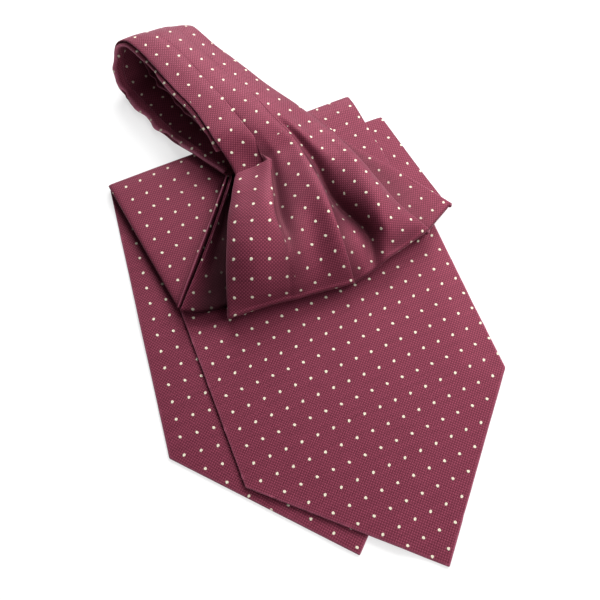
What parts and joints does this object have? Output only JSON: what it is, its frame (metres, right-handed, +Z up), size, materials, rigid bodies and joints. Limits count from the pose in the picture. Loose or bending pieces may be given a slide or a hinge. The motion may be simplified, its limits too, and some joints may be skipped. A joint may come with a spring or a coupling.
{
  "type": "silk cravat",
  "caption": "Pleated silk day cravat with pointed blades and a woven pin-dot pattern, folded on itself with its neckband doubled into a loop.",
  "frame": {"origin": "bottom centre of the folded cravat's box, on the surface it lies on", "axes": "+Y towards the neckband loop, +X towards the right-hand corner of the front blade, +Z up off the surface"},
  "size_m": [0.2122, 0.292, 0.0321],
  "materials": {
    "silk": "burgundy basket-woven silk with small cream dots, soft sheen"
  },
  "bodies": {
    "root": {"rear_blade": "silk", "front_blade": "silk", "front_return": "silk", "rear_return": "silk", "rear_gather": "silk", "front_gather": "silk", "folded_core": "silk", "neckband_upper": "silk", "neckband_turn": "silk", "neckband_lower": "silk"}
  },
  "joints": []
}
